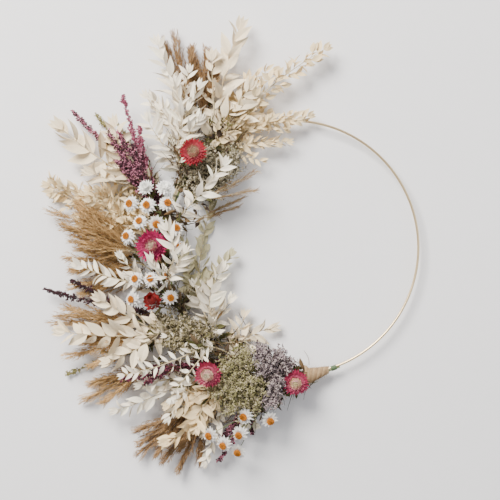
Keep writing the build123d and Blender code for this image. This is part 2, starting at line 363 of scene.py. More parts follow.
def spray_of(node):
    """Where a flat leafy node starts and ends, the way it faces, its width, its sideways bow and its stem."""
    tri, middle, normal, area = triangles(node)
    ahead = normal @ FRONT > 0.3
    group, total = gathered(np.round(normal[ahead] * 120), area[ahead])
    best = np.nonzero(ahead)[0][group == total.argmax()]
    face = unit((normal[best] * area[best][:, None]).sum(0))
    level = middle @ face
    depth = np.average(level[best], weights=area[best])
    blade = (normal @ face > 0.9999) & (np.abs(level - depth) < 0.2)
    flat = tri[blade].reshape(-1, 3)
    tie = middle[by_the_hoop(middle)[1]].mean(0)
    heading = square_to(np.average(middle[blade], axis=0, weights=area[blade]) - tie, face)
    for _ in range(2):
        start = flat[np.argmin(flat @ heading)]
        tip = flat[np.argmax(np.linalg.norm(flat - start, axis=1))]
        heading = unit(tip - start)
    side = np.cross(face, heading)
    across = (flat - start) @ side
    along = (flat - start) @ heading
    half = np.abs(along - along.max() / 2) < along.max() * 0.12
    bow = (across[half].max() + across[half].min()) / 2
    inside = face * 0.5
    return {
        "start": start - inside, "tip": tip - inside, "face": face, "side": side, "bow": bow,
        "width": across.max() - across.min(), "stem": stem_to(middle, start - inside + heading * 3, heading),
    }


def plume_of(node):
    """Where a plume's spindle starts and ends, and its stem."""
    tri, middle, normal, area = triangles(node)
    points = tri.reshape(-1, 3)
    best = None
    for centre, facing, patch in flats(middle, normal, area):
        heading = -facing
        along = (points - centre) @ heading
        tip = points[np.argmax(along)]
        miss = np.linalg.norm(np.cross(tip - centre, heading))
        if 2.5 < patch < 6 and along.max() > 30 and (best is None or miss < best[0]):
            best = (miss, centre, heading, along.max())
    _, start, heading, length = best
    stem = stem_to(middle, start + heading * 3, heading)
    return {"start": start, "tip": start + heading * length, "stem": stem}


def heads_of(node):
    """Every domed head of a node: (middle of its flat front, the way it faces, its radius)."""
    _, middle, normal, area = triangles(node)
    found = []
    for centre, facing, patch in flats(middle, normal, area):
        radius = math.sqrt(patch / math.pi) / FLAT_SHARE
        if facing @ FRONT > 0.25 and 7 < radius < 25:
            found.append((centre, facing, radius))
    return sorted(found, key=lambda h: (round(h[0][2]), round(h[0][0])))


# ---------------------------------------------------------------- materials

def noise(nodes, links, where, scale, detail):
    """A noise texture fixed to the object."""
    texture = nodes.new("ShaderNodeTexNoise")
    texture.inputs["Scale"].default_value = scale
    texture.inputs["Detail"].default_value = detail
    links.new(where.outputs["Object"], texture.inputs["Vector"])
    return texture


def mat(name, rough, bump, grain, mottle, metallic=0.0, colour=None):
    """A dry surface: the mesh's tint, or a colour in its place, mottled and grained by noise."""
    m = bpy.data.materials.new(name)
    m.use_nodes = True
    nodes, links = m.node_tree.nodes, m.node_tree.links
    shader = nodes["Principled BSDF"]
    shader.inputs["Roughness"].default_value = rough
    shader.inputs["Metallic"].default_value = metallic
    shader.inputs["Specular IOR Level"].default_value = 0.3 if metallic == 0 else 0.5
    where = nodes.new("ShaderNodeTexCoord")
    broad = noise(nodes, links, where, grain * 0.12, 3)
    fine = noise(nodes, links, where, grain, 2)
    half = nodes.new("ShaderNodeMath")
    half.operation = "MULTIPLY"
    half.inputs[1].default_value = 1 - FINE_SHARE
    links.new(broad.outputs["Fac"], half.inputs[0])
    both = nodes.new("ShaderNodeMath")
    both.operation = "MULTIPLY_ADD"
    both.inputs[1].default_value = FINE_SHARE
    links.new(fine.outputs["Fac"], both.inputs[0])
    links.new(half.outputs[0], both.inputs[2])
    ramp = nodes.new("ShaderNodeMapRange")
    ramp.inputs["From Min"].default_value = 0.3
    ramp.inputs["From Max"].default_value = 0.7
    ramp.inputs["To Min"].default_value = 1 - mottle
    ramp.inputs["To Max"].default_value = 1 + mottle * 0.6
    links.new(both.outputs[0], ramp.inputs["Value"])
    mix = nodes.new("ShaderNodeVectorMath")
    mix.operation = "SCALE"
    if colour is None:
        tint = nodes.new("ShaderNodeAttribute")
        tint.attribute_name = "tint"
        links.new(tint.outputs["Color"], mix.inputs[0])
    else:
        mix.inputs[0].default_value = colour
    links.new(ramp.outputs[0], mix.inputs["Scale"])
    links.new(mix.outputs[0], shader.inputs["Base Color"])
    lift = nodes.new("ShaderNodeBump")
    lift.inputs["Strength"].default_value = bump
    lift.inputs["Distance"].default_value = 0.0004
    links.new(fine.outputs["Fac"], lift.inputs["Height"])
    links.new(lift.outputs["Normal"], shader.inputs["Normal"])
    return m


FINE_SHARE = 0.45  # how much of the mottling is fine grain
LEAF = mat("dry_leaf", rough=0.72, bump=0.12, grain=700, mottle=0.10)
STRAW = mat("plume_straw", rough=0.7, bump=0.1, grain=900, mottle=0.22)
TWIG = mat("dry_twig", rough=0.85, bump=0.25, grain=1200, mottle=0.25)
PETAL = mat("papery_petal", rough=0.55, bump=0.1, grain=600, mottle=0.10)
TUFT = mat("tiny_flowers", rough=0.85, bump=0.1, grain=1500, mottle=0.2)
CORE = mat("flower_centre", rough=0.8, bump=0.3, grain=1600, mottle=0.3)
BRASS = mat("satin_brass", rough=0.32, bump=0.03, grain=500, mottle=0.06, metallic=1.0,
            colour=(0.86, 0.66, 0.38))
WIRE = mat("olive_wire", rough=0.5, bump=0.05, grain=900, mottle=0.2, metallic=0.4,
           colour=(0.14, 0.15, 0.09))
JUTE = mat("jute_cord", rough=0.95, bump=0.5, grain=1500, mottle=0.3)
TAPE = mat("green_tape_wax", rough=0.6, bump=0.4, grain=1100, mottle=0.25, colour=(0.085, 0.13, 0.06))


# ---------------------------------------------------------------- growing the plants

LITTER_AND_SHADE = ((0.13, 0.08, 0.035), (0.09, 0.085, 0.025), (0.05, 0.03, 0.02))  # browns of the undergrowth, dark enough to be painted shade deep in the posy as well
GOLDEN_ANGLE = 2.39996
SPIN = 0.37  # how far each row of petals is turned from the one before, in petals

def jitter(rng, amount):
    """A small random step in any direction."""
    return np.array([rng.gauss(0, 1), rng.gauss(0, 1), rng.gauss(0, 1)]) * amount


def shade(rng, colour, amount=0.06):
    """The colour, a little lighter or darker."""
    return np.clip(np.array(colour) * (1 + rng.uniform(-amount, amount)), 0, 1)


def draw_stem(shape, line, colour, rng, radius=0.85):
    """A stem or twig that thins towards its end."""
    line = resample(line, max(8, len(line)))
    radii = [radius, radius, radius * 0.9, radius * 0.75]
    shape.tube(line, radii, shade(rng, colour), sides=6, kind=1)


def rib_line(place, count):
    """The middle line of a spray, bowed as its CAD blade is."""
    t = np.linspace(0, 1, count)[:, None]
    return place["start"] * (1 - t) + place["tip"] * t + place["side"] * (4 * t * (1 - t)) * place["bow"]


def offshoot(place, rng, size, angle, depth):
    """A smaller spray that leaves the same stem a little before the main one."""
    stem = resample(place["stem"], 40)
    begin = stem[rng.randrange(26, 37)]
    length = np.linalg.norm(place["tip"] - place["start"]) * size
    heading = unit(turn(unit(place["tip"] - place["start"]), place["face"], angle) + place["face"] * depth)
    face = turn(square_to(place["face"], heading), heading, rng.uniform(-25, 25))
    return {
        "start": begin, "tip": begin + heading * length, "face": face, "side": np.cross(face, heading),
        "bow": rng.uniform(-4, 4), "width": place["width"] * size ** 0.5, "stem": np.array([begin, begin]),
    }


def leafy(place, look, rng, shape):
    """A spray and the smaller ones that share its stem."""
    draw_stem(shape, place["stem"], look["stem"], rng)
    undergrowth_and_shade(place["stem"], 44, rng, shape)
    leaf_spray(place, look, rng, shape)
    for k in range(look["extra"]):
        angle = alternate(k) * rng.uniform(14, 38)
        small = offshoot(place, rng, rng.uniform(0.55, 0.85), angle, rng.uniform(-0.12, 0.22))
        leaf_spray(small, dict(look, leaf=look["leaf"] * 0.85, back=0), rng, shape)


def undergrowth_and_shade(stem, count, rng, shape):
    """Brown curled leaves and bits of twig deep in the posy, round a stem's last part, dark enough to be
    painted shade there as well.
    """
    line = resample(stem, 40)
    for _ in range(count):
        at = line[rng.randrange(14, 40)] + jitter(rng, 4.5)
        go = unit(unit(line[-1] - line[14]) + jitter(rng, 0.6))
        # very dark browns: partly the real litter, partly painted shade deep in the posy
        tone = shade(rng, rng.choice(LITTER_AND_SHADE), 0.4)
        if rng.random() < 0.5:
            shape.blade(at, go, jitter(rng, 1), rng.uniform(9, 19), rng.uniform(3, 6), tone,
                        curl=rng.uniform(-60, 90), twist=rng.uniform(-70, 70), stations=4)
        else:
            twig = curve(at, go, rng.uniform(14, 34), jitter(rng, 0.5), 0.6, 5)
            shape.tube(twig, [0.5, 0.2], tone, sides=4, kind=1)


def leaf_spray(place, look, rng, shape):
    """Leaves down both sides of a spray, and on short side shoots where the look asks for them."""
    length = np.linalg.norm(place["tip"] - place["start"])
    line = rib_line(place, 40)
    stem = resample(place["stem"], 40)
    stem_length = line_length(stem)
    leafless = int(40 * (1 - min(0.6, look["back"] * length / max(1, stem_length))))
    full = resample(np.concatenate([stem[leafless:-1], line]), 60)
    shape.tube(line, [0.75, 0.6, 0.25], shade(rng, look["stem"]), sides=5, kind=1)
    total = line_length(full)
    count = int(total / look["gap"])
    ahead = np.gradient(full, axis=0)
    for i in range(count):
        t = (i + rng.uniform(-0.25, 0.25)) / count
        t = min(max(t, 0.0), 1.0)
        at = full[int(t * 59)]
        heading = unit(ahead[int(t * 59)])
        spread = math.sin(math.pi * min(1, 0.22 + 0.72 * t)) ** 0.6
        lean = alternate(i) * (look["lean"][0] * (1 - t) + look["lean"][1] * t) + rng.uniform(-17, 17)
        out = turn(heading, place["face"], lean)
        out = turn(out, heading, rng.gauss(0, look["roll"]))
        face = turn(square_to(place["face"], out), out, rng.gauss(0, look["turn"]))
        size = look["leaf"] * (0.55 + 0.5 * spread) * rng.uniform(0.82, 1.15)
        if look["shoot"] and t < 0.93:
            run = place["width"] / 2 * spread * look["shoot"] * rng.uniform(0.75, 1.1)
            twig = curve(at, out, run, heading, 0.5, 6)
            side_shoot(twig, run, place["face"], face, look, rng, shape)
        else:
            shape.blade(at, out, face, size, size * look["shape"] * rng.uniform(0.85, 1.1),
                        shade(rng, look["colour"], 0.14), curl=rng.uniform(*look["curl"]),
                        fold=rng.uniform(6, 24), twist=rng.uniform(-look["twist"], look["twist"]), stations=7)
    end = line[-1] - unit(line[-1] - line[-2]) * 2
    size = look["leaf"] * 0.62
    for lean in (-18, 4, 22):
        out = turn(unit(line[-1] - line[-3]), place["face"], lean + rng.uniform(-6, 6))
        shape.blade(end, out, place["face"], size, size * look["shape"], shade(rng, look["colour"], 0.14),
                    curl=rng.uniform(-5, 25), stations=6)


def side_shoot(twig, run, spray_face, face, look, rng, shape):
    """A short twig off a spray's rib, with small leaves down both sides and one at its end."""
    shape.tube(twig, [0.35, 0.2], shade(rng, look["stem"]), sides=4, kind=1)
    ahead = np.gradient(twig, axis=0)
    count = max(2, int(run / look["gap"] * 1.5))
    for k in range(count):
        at = int((k + 0.6) / count * 5)
        way = unit(ahead[at])
        go = turn(way, spray_face, alternate(k) * rng.uniform(25, 60))
        go = turn(go, way, rng.gauss(0, 45))
        size = look["leaf"] * rng.uniform(0.5, 0.85)
        shape.blade(twig[at], go, turn(square_to(face, go), go, rng.gauss(0, 45)), size, size * look["shape"],
                    shade(rng, look["colour"], 0.14), curl=rng.uniform(-10, 45), fold=rng.uniform(8, 28),
                    twist=rng.uniform(-50, 50), stations=5)
    size = look["leaf"] * 0.7
    shape.blade(twig[-1], unit(twig[-1] - twig[-2]), face, size, size * look["shape"],
                shade(rng, look["colour"], 0.14), curl=rng.uniform(0, 35), stations=5)


def plume(place, look, rng, shape):
    """A fan of reed heads on one stem."""
    draw_stem(shape, place["stem"], look["stem"], rng)
    undergrowth_and_shade(place["stem"], 18, rng, shape)
    axis = unit(place["tip"] - place["start"])
    length = np.linalg.norm(place["tip"] - place["start"])
    begin = resample(place["stem"], 30)[-2]
    reed_head(begin, axis, length, look, rng, shape)
    for k in range(look["heads"] - 1):
        angle = alternate(k) * rng.uniform(7, 17)
        heading = unit(turn(axis, FRONT, angle) + FRONT * rng.uniform(-0.04, 0.12))
        reed_head(begin + jitter(rng, 2), heading, length * rng.uniform(0.72, 0.96), look, rng, shape)


def reed_head(begin, axis, length, look, rng, shape):
    """One reed head: long side branches close to the stem, each crowded with hair-thin husks."""
    side = square_to(FRONT, axis)
    other = np.cross(axis, side)
    sway = side * rng.uniform(-0.05, 0.1) + other * rng.uniform(-0.15, 0.15)
    spine = curve(begin, axis, length * 0.96, sway, 0.5, 20)
    shape.tube(spine, [0.7, 0.5, 0.2], shade(rng, look["stem"]), sides=4, kind=1)
    ahead = np.gradient(spine, axis=0)
    for b in range(look["branches"]):
        t = (b + rng.random()) / look["branches"] * 0.9
        at, heading = spine[int(t * 19)], unit(ahead[int(t * 19)])
        axle = turn(side, axis, rng.uniform(0, 360))
        out = turn(heading, axle, rng.uniform(5, look["open"]) * (1.15 - 0.75 * t))
        run = length * rng.uniform(0.22, 0.42) * (1.15 - 0.6 * t)
        run = min(run, (1.02 - t * 0.96) * length)
        branch = curve(at, out, run, heading * 0.8 + jitter(rng, 0.3), 0.6, 7)
        tone = min(1, max(0, rng.gauss(0.35 + 0.4 * t, 0.25)))
        base = np.array(look["dark"]) * (1 - tone) + np.array(look["light"]) * tone
        shape.tube(branch, [0.22, 0.16, 0.08], np.clip(base * 0.9, 0, 1), sides=3)
        way = np.gradient(branch, axis=0)
        for k in range(look["husks"]):
            f = min(0.1 + 0.9 * (k + rng.random()) / look["husks"], 0.999) * 6
            here = branch[int(f)] * (1 - f % 1) + branch[int(f) + 1] * (f % 1)
            go = unit(unit(way[int(f)]) + jitter(rng, 0.26))
            shape.bead(here, go, rng.uniform(4.0, 8.5) * look["size"], rng.uniform(0.18, 0.36),
                       shade(rng, base, 0.32), sides=3)


def heather(place, look, rng, shape):
    """A stiff sprig and the smaller ones that share its stem."""
    draw_stem(shape, place["stem"], look["stem"], rng, radius=0.7)
    undergrowth_and_shade(place["stem"], 34, rng, shape)
    bud_sprig(place, look, rng, shape)
    for k in range(look["extra"]):
        angle = alternate(k) * rng.uniform(5, 17)
        small = offshoot(place, rng, rng.uniform(0.6, 0.95), angle, rng.uniform(-0.05, 0.15))
        bud_sprig(small, dict(look, back=0), rng, shape)


def bud_sprig(place, look, rng, shape):
    """A sprig set with short side twigs of tiny buds."""
    line = rib_line(place, 40)
    stem = resample(place["stem"], 40)
    full = resample(np.concatenate([stem[int(40 * (1 - look["back"])):-1], line]), 60)
    shape.tube(line, [0.7, 0.5, 0.25], shade(rng, look["stem"]), sides=5, kind=1)
    total = line_length(full)
    ahead = np.gradient(full, axis=0)
    for _ in range(int(total / look["gap"])):
        t = rng.random()
        at = full[int(t * 59)]
        heading = unit(ahead[int(t * 59)])
        out = turn(turn(heading, place["face"], rng.uniform(22, 52)), heading, rng.uniform(0, 360))
        run = place["width"] / 2 * rng.uniform(0.35, 1.0) * (1.12 - 0.75 * t) * look["reach"]
        twig = curve(at, out, run, heading, 0.7, 5)
        shape.tube(twig, [0.3, 0.18], shade(rng, look["stem"], 0.2), sides=3, kind=1)
        way = np.gradient(twig, axis=0)
        for k in range(look["buds"]):
            f = (k + rng.random()) / look["buds"]
            here = twig[int(f * 4.99)]
            go = unit(unit(way[int(f * 4.99)]) * 0.7 + jitter(rng, 0.55))
            pick = look["colours"][0 if rng.random() < look["share"] else 1]
            shape.bead(here + jitter(rng, 0.3), go, rng.uniform(1.6, 3.0) * look["size"],
                       rng.uniform(0.5, 0.95) * look["size"], shade(rng, pick, 0.25), sides=4)


def tuft_cloud(shape, root, centre, radius, look, rng):
    """A cloud of tiny flowers on hair-thin twigs round a point."""
    away = unit(centre - root)
    colours = look["colours"]
    for _ in range(look["twigs"]):
        out = unit(away * 0.7 + jitter(rng, 0.75))
        start = centre - away * radius * rng.uniform(0.2, 1.9) + FRONT * rng.uniform(0, 6)
        twig = curve(start, out, radius * rng.uniform(0.9, 2.1), away + FRONT * 0.3, 0.4, 6)
        shape.tube(twig, [0.25, 0.15], shade(rng, look["stem"], 0.2), sides=3, kind=1)
        for k in range(look["buds"]):
            f = 0.25 + 0.75 * (k + rng.random()) / look["buds"]
            here = twig[int(min(f, 0.999) * 5)] + jitter(rng, 0.9)
            tone = shade(rng, colours[int(rng.random() ** 1.3 * len(colours))], 0.14)
            for _ in range(2):
                go = unit(out * 0.5 + FRONT * 0.3 + jitter(rng, 0.6))
                shape.bead(here, go, rng.uniform(1.6, 2.9), rng.uniform(0.6, 1.05), tone, sides=4)


def ring_of_petals(shape, centre, facing, count, inner, open_angle, length, width, tint, tip_tint, rng,
                   curl, spin, fold=14, stations=5):
    """One row of petals round a head, each fading to another colour at its tip."""
    facing = unit(facing)
    side = square_to([0.2, 0.3, 1.0], facing)
    for i in range(count):
        a = 360 * (i + spin + rng.uniform(-0.18, 0.18)) / count
        out = turn(side, facing, a)
        heading = turn(facing, np.cross(facing, out), open_angle + rng.uniform(-6, 6))
        size = length * rng.uniform(0.88, 1.1)
        tint_now = shade(rng, tint, 0.08)
        shape.blade(centre + out * inner, heading, square_to(facing, heading), size,
                    width * rng.uniform(0.9, 1.1), tint_now, curl=curl + rng.uniform(-8, 8),
                    fold=fold, stations=stations, thick=0.25)
        rows = shape.tints[-1]
        fade = np.linspace(0, 1, len(rows))[:, None] ** 1.3
        rows[:] = rows * (1 - fade) + np.clip(np.array(tip_tint) * rng.uniform(0.92, 1.06), 0, 1) * fade


def disc_of_beads(shape, centre, facing, radius, dome, count, size, inner_tint, outer_tint, rng):
    """A packed centre of florets, set in a spiral."""
    facing = unit(facing)
    side = square_to([0.2, 0.3, 1.0], facing)
    other = np.cross(facing, side)
    for i in range(count):
        f = math.sqrt((i + 0.5) / count)
        a = i * GOLDEN_ANGLE
        out = side * math.cos(a) + other * math.sin(a)
        at = centre + out * radius * f + facing * dome * (1 - f * f)
        tint = np.array(inner_tint) * (1 - f) + np.array(outer_tint) * f
        go = unit(facing + out * f * 0.6 + jitter(rng, 0.12))
        shape.bead(at - facing * size * 0.4, go, size * rng.uniform(0.9, 1.3), size * 0.36,
                   shade(rng, tint, 0.16), sides=4, kind=1)


def solid_dome(shape, centre, facing, radius, depth, tint, kind=1):
    """A plain closed dome under a flower's petals, so that no gap shows between them."""
    facing = unit(facing)
    side = square_to([0.2, 0.3, 1.0], facing)
    other = np.cross(facing, side)
    rings, sides = 5, 14
    points = [centre - facing * depth]
    for i in range(rings):
        t = (i + 1) / rings
        r = radius * math.sin(math.pi * 0.5 * min(1, t * 1.25))
        h = -depth + depth * t
        for k in range(sides):
            a = 2 * math.pi * k / sides
            points.append(centre + facing * h + (side * math.cos(a) + other * math.sin(a)) * r)
    points.append(centre + facing * 0.5)
    faces = []
    for k in range(sides):
        j = (k + 1) % sides
        faces.append((0, 1 + j, 1 + k))
        faces.append((len(points) - 1, 1 + (rings - 1) * sides + k, 1 + (rings - 1) * sides + j))
        for i in range(rings - 1):
            a, b = 1 + i * sides, 1 + (i + 1) * sides
            faces.append((a + k, a + j, b + j, b + k))
    shape.add(points, faces, tint, kind)


# ---------------------------------------------------------------- what each plant looks like

CREAM, IVORY, WHITE = (0.80, 0.63, 0.37), (0.85, 0.71, 0.49), (0.91, 0.81, 0.64)
SAGE, STRAW_STEM = (0.52, 0.47, 0.28), (0.55, 0.45, 0.27)
GREEN, BLACK = (0.17, 0.21, 0.08), (0.035, 0.022, 0.022)


def leaf_look(colour, leaf, shape, gap, shoot=0.0, curl=(-10, 55), lean=(62, 34), back=0.3, roll=38, extra=2):
    """Leaf is a leaf's length and shape its width for that length. Gap is the rib's length for each leaf."""
    return {"colour": colour, "leaf": leaf, "shape": shape, "gap": gap, "shoot": shoot, "curl": curl,
            "lean": lean, "roll": roll, "turn": 42, "twist": 60, "back": back, "extra": extra,
            "stem": STRAW_STEM}


LEAVES = {
    "ruscus_top_long": leaf_look(CREAM, 20, 0.46, 6.0, shoot=0.75, back=0.5, extra=1),
    "ruscus_top_tall": leaf_look(IVORY, 31, 0.38, 6.0, back=0.5, extra=3),
    "ruscus_top_hoop": leaf_look(CREAM, 17, 0.36, 3.6, back=0.6, shoot=0.5),
    "ruscus_top_inner": leaf_look(CREAM, 16, 0.34, 4.0, back=0.5),
    "ruscus_top_back": leaf_look(CREAM, 20, 0.46, 6.0, shoot=0.7, back=0.5),
    "ruscus_crown_white": leaf_look(WHITE, 25, 0.31, 4.6, back=0.75, extra=4),
    "ruscus_crown_star": leaf_look(WHITE, 27, 0.26, 3.4, lean=(80, 30), back=0.6, extra=4),
    "ruscus_shoulder_large": leaf_look(IVORY, 33, 0.36, 5.6, back=0.3, extra=3),
    "ruscus_left_curly": leaf_look(CREAM, 19, 0.40, 4.4, shoot=1.3, curl=(20, 120), back=0.45, extra=4),
    "ruscus_left_silver": leaf_look(WHITE, 19, 0.34, 3.6, back=0.2, extra=1),
    "ruscus_left_broad": leaf_look(IVORY, 29, 0.43, 6.4, back=0.25, roll=20),
    "ruscus_front_white": leaf_look(WHITE, 22, 0.34, 4.2, back=0.1, extra=0),
    "ruscus_front_star": leaf_look(WHITE, 24, 0.26, 4.0, lean=(75, 25), back=0.3),
    "ruscus_inner_sage": leaf_look(SAGE, 20, 0.40, 4.6, back=0.4, extra=4),
    "ruscus_inner_white": leaf_look(WHITE, 25, 0.40, 4.6, lean=(70, 25), back=0.4),
    "ruscus_inner_short": leaf_look(IVORY, 23, 0.32, 5.0, lean=(70, 30), back=0.35),
    "ruscus_low_drooping": leaf_look(WHITE, 17, 0.30, 4.8, lean=(80, 50), back=0.2),
    "ruscus_low_white": leaf_look(WHITE, 22, 0.34, 4.2, back=0.4, curl=(0, 80), extra=4),
    "ruscus_bottom_cream": leaf_look(CREAM, 24, 0.48, 4.4, back=0.5, curl=(-60, 60), extra=4),
    "ruscus_bottom_white": leaf_look(WHITE, 17, 0.40, 4.2, back=0.5, extra=4),
}

SNOW = (0.93, 0.91, 0.86)
DEEP_ORANGE, ORANGE, BRIGHT_ORANGE = (0.26, 0.08, 0.006), (0.40, 0.13, 0.01), (0.62, 0.23, 0.02)
PINK, ROSE, MAROON = (0.26, 0.06, 0.10), (0.44, 0.16, 0.22), (0.065, 0.022, 0.03)
OLIVE, KHAKI = (0.24, 0.22, 0.08), (0.38, 0.33, 0.15)


def bud_look(first, second, share, stem, gap, buds, size, reach, back, extra=2):
    """Share is how much of the sprig has the first colour. Back is how far buds go down the stem."""
    return {"colours": (first, second), "share": share, "stem": stem, "gap": gap, "buds": buds, "size": size,
            "reach": reach, "back": back, "extra": extra}


BUDS = {
    "heather_shoulder_pink": bud_look(ROSE, PINK, 0.5, BLACK, 1.1, 9, 1.3, 1.1, 0.8, 2),
    "heather_shoulder_long": bud_look(ROSE, MAROON, 0.55, BLACK, 1.2, 8, 1.2, 0.95, 0.7, 1),
    "heather_shoulder_dark": bud_look(ROSE, MAROON, 0.35, BLACK, 1.1, 9, 1.3, 1.5, 0.9, 6),
    "heather_left_dark": bud_look(MAROON, BLACK, 0.5, BLACK, 1.2, 7, 1.3, 1.15, 0.5, 1),
    "heather_low_dark": bud_look(MAROON, PINK, 0.6, BLACK, 1.2, 8, 1.2, 1.3, 0.7, 3),
    "heather_bottom_pink": bud_look(ROSE, MAROON, 0.45, BLACK, 1.0, 9, 1.3, 1.5, 0.4, 3),
    "sprig_shoulder_olive": bud_look(OLIVE, KHAKI, 0.5, (0.2, 0.15, 0.07), 1.5, 7, 1.15, 1.6, 0.7, 2),
    "sprig_low_olive": bud_look(KHAKI, OLIVE, 0.6, (0.2, 0.14, 0.06), 1.7, 7, 1.15, 1.7, 0.4, 1),
    "twig_inner_dark": bud_look(MAROON, OLIVE, 0.7, BLACK, 4.0, 3, 0.6, 0.6, 0.2, 0),
}


def reed_look(dark, light, branches, husks, spread, size=1.0, heads=3):
    """Counts of side branches and of husks on each, and how far the branches open in degrees."""
    return {"dark": dark, "light": light, "branches": branches, "husks": husks, "open": spread, "size": size,
            "heads": heads, "stem": STRAW_STEM}


BROWN_REED = reed_look((0.13, 0.065, 0.025), (0.46, 0.28, 0.13), 44, 22, 34, heads=4)
GOLD_REED = reed_look((0.20, 0.10, 0.03), (0.66, 0.42, 0.18), 40, 22, 33, heads=4)
THIN_REED = reed_look((0.26, 0.15, 0.07), (0.52, 0.36, 0.19), 14, 16, 13, 0.9, 2)
REEDS = {
    "plume_crown_tall": BROWN_REED, "plume_crown_short": BROWN_REED, "plume_inner_high": THIN_REED,
    "plume_inner_low": THIN_REED, "plume_left_1": GOLD_REED, "plume_left_2": GOLD_REED,
    "plume_left_3": GOLD_REED, "plume_left_4": GOLD_REED, "plume_left_5": GOLD_REED,
    "plume_left_6": GOLD_REED, "plume_low_wide": GOLD_REED, "plume_bottom_left": BROWN_REED,
    "plume_bottom": BROWN_REED,
}

# Colours of a petal's root, of its tip, of the inner petals and of the middle, then the head's height
# and the middle's width, both for the head's radius
STRAWFLOWERS = {
    "strawflower_red": (
        (0.50, 0.04, 0.07), (0.33, 0.008, 0.02),
        (0.70, 0.30, 0.27), (0.46, 0.32, 0.18), 0.85, 0.60,
    ),
    "strawflower_magenta": (
        (0.52, 0.04, 0.15), (0.34, 0.008, 0.07),
        (0.60, 0.14, 0.26), (0.66, 0.48, 0.33), 0.80, 0.46,
    ),
    "strawflower_coral": (
        (0.50, 0.06, 0.05), (0.34, 0.02, 0.025),
        (0.55, 0.09, 0.09), (0.55, 0.15, 0.12), 2.40, 0.30,
    ),
    "strawflower_pink": (
        (0.60, 0.10, 0.18), (0.42, 0.02, 0.09),
        (0.76, 0.42, 0.38), (0.74, 0.60, 0.40), 0.88, 0.60,
    ),
    "strawflower_cream": (
        (0.60, 0.09, 0.18), (0.42, 0.015, 0.09),
        (0.78, 0.42, 0.42), (0.76, 0.60, 0.32), 0.88, 0.60,
    ),
}

# Light, middle and dark flowers, then how far a cloud spreads for its ball's radius
CLOUDS = {
    "sea_lavender_upper": ((0.56, 0.49, 0.35), (0.30, 0.26, 0.16), (0.10, 0.08, 0.045), 2.0),
    "sea_lavender_left": ((0.50, 0.42, 0.28), (0.31, 0.26, 0.13), (0.11, 0.09, 0.04), 1.6),
    "sea_lavender_bottom": ((0.42, 0.37, 0.19), (0.26, 0.235, 0.10), (0.50, 0.42, 0.29), 1.45),
    "sea_lavender_lilac": ((0.50, 0.41, 0.38), (0.32, 0.25, 0.26), (0.08, 0.055, 0.06), 1.15),
}


# ---------------------------------------------------------------- the flowers

def strawflower(node, look, rng, shape):
    """A papery head on its own stem: rows of petals round a domed middle, or a tall shut bud."""
    root, tip, inner, middle, tall, heart = look
    front, facing, radius = heads_of(node)[0]
    height = radius * tall
    back = front - facing * height
    stem = stem_to(triangles(node)[1], back + facing * 2, facing)
    draw_stem(shape, stem, GREEN, rng)
    undergrowth_and_shade(stem[:-5], 26, rng, shape)
    core = back + facing * height * 0.62
    # the dome is painted darker than the petal roots: painted shade in the gaps between the petals
    solid_dome(shape, core, facing, radius * 0.62, height * 0.5, np.array(root) * 0.6)
    if tall > 2:
        for row in range(7):
            f = row / 6
            ring_of_petals(shape, back + facing * height * f * 0.72, facing, 11, radius * (0.55 - 0.2 * f),
                           52 - 38 * f, radius * 0.95, radius * 0.42, root, tip, rng,
                           curl=-35, spin=SPIN * row)
        return
    for row in range(8):
        f = row / 7
        mix = f ** 1.6
        tint = np.array(root) * (1 - mix) + np.array(inner) * mix
        edge = np.array(tip) * (1 - mix) + np.array(inner) * mix
        ring_of_petals(shape, back + facing * height * (0.14 + 0.46 * f), facing, 28 - 2 * row,
                       radius * (0.44 - 0.26 * f), 78 - 48 * f, radius * (0.64 - 0.22 * f), radius * 0.19,
                       tint, edge, rng, curl=-30 - 20 * f, spin=SPIN * row, stations=4)
    disc_of_beads(shape, back + facing * height * 0.66, facing, radius * heart * 0.62, height * 0.25, 110,
                  radius * 0.15, np.array(middle) * 0.6, middle, rng)


def everlasting(node, rng, shape):
    """White heads with orange middles on one branched stem. The upper sprig's top heads are half shut."""
    heads = heads_of(node)
    crotch = balls(node, KNOT)[0]
    middle = np.mean([h[0] for h in heads], 0)
    stem = stem_to(triangles(node)[1], crotch, unit(middle - crotch))
    draw_stem(shape, stem, GREEN, rng)
    undergrowth_and_shade(stem, 60, rng, shape)
    for i, (front, facing, radius) in enumerate(heads):
        height = radius * 0.84
        back = front - facing * height
        reach = np.linalg.norm(back - crotch)
        twig = bezier(crotch, crotch + (back - crotch) * 0.3, back - facing * reach * 0.3, back, 9)
        draw_stem(shape, twig, GREEN, rng, radius=0.5)
        shut = node == "everlasting_upper" and front[2] > 60
        core = back + facing * height * 0.5
        # the dome is painted grey under the white petals: painted shade in the gaps between them
        solid_dome(shape, core, facing, radius * 0.5, height * 0.45, np.array(SNOW) * 0.75, kind=0)
        for row in range(4):
            f = row / 3
            ring_of_petals(shape, back + facing * height * (0.15 + 0.45 * f), facing, 13 - row, radius * 0.22,
                           78 - 52 * f if shut else 84 - 16 * f, radius * (1.06 - 0.26 * f), radius * 0.36,
                           SNOW, SNOW, rng, curl=-6 + 20 * (i % 2), fold=10, spin=SPIN * row, stations=4)
        if shut:
            inner_petals(back + facing * height * 0.4, facing, radius, rng, shape)
        else:
            solid_dome(shape, back + facing * height * 1.02, facing, radius * 0.44, height * 0.5, ORANGE)
            disc_of_beads(shape, back + facing * height * 1.04, facing, radius * 0.43, height * 0.2, 90,
                          radius * 0.25, DEEP_ORANGE, BRIGHT_ORANGE, rng)


def inner_petals(centre, facing, radius, rng, shape):
    """The tuft of narrow petals that fills a half shut head."""
    for _ in range(40):
        go = unit(facing + jitter(rng, 0.55))
        shape.blade(centre + jitter(rng, 1.2), go, square_to(FRONT, go), radius * 0.75, radius * 0.24,
                    shade(rng, SNOW, 0.05), curl=rng.uniform(-20, 60), stations=3, thick=0.2)


